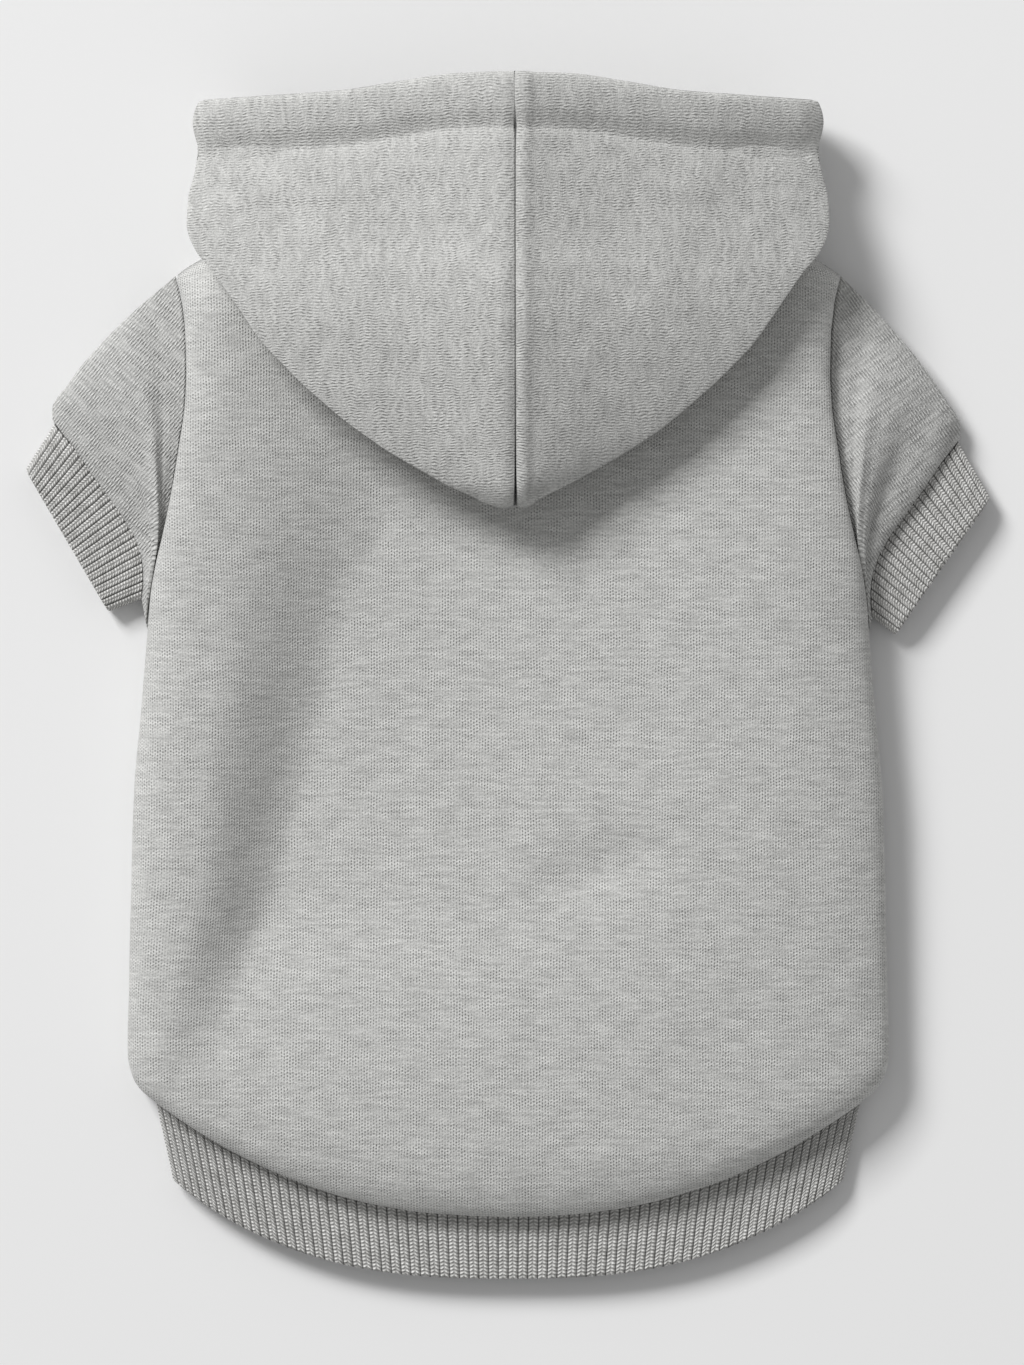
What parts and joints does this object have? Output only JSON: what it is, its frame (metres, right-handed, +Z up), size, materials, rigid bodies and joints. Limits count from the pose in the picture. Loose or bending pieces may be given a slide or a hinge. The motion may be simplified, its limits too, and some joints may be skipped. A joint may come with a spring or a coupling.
{
  "type": "dog hoodie",
  "caption": "Pull-on dog sweatshirt with a hood, short sleeves, ribbed cuffs and a ribbed hem, lying flat on its belly with the hood laid back",
  "frame": {"origin": "middle of the footprint, on the surface that the hoodie lies on", "axes": "+Y to the hood's face opening, +X to the viewer's right in the picture (the wearer's right), +Z up from the surface, out of the garment's back"},
  "size_m": [0.4064, 0.5052, 0.059],
  "materials": {
    "back_panel": "matt brushed sweatshirt knit, grey marl",
    "belly_panel": "matt brushed sweatshirt knit, grey marl",
    "hem_rib": "matt one-by-one rib knit, grey marl",
    "sleeve_left": "matt brushed sweatshirt knit, grey marl",
    "cuff_left": "matt one-by-one rib knit, grey marl",
    "sleeve_right": "matt brushed sweatshirt knit, grey marl",
    "cuff_right": "matt one-by-one rib knit, grey marl",
    "hood_left": "matt brushed sweatshirt knit, grey marl",
    "hood_right": "matt brushed sweatshirt knit, grey marl"
  },
  "bodies": {
    "root": {"back_panel": "back_panel", "belly_panel": "belly_panel", "hem_rib": "hem_rib", "sleeve_left": "sleeve_left", "cuff_left": "cuff_left", "sleeve_right": "sleeve_right", "cuff_right": "cuff_right", "hood_left": "hood_left", "hood_right": "hood_right"}
  },
  "joints": []
}
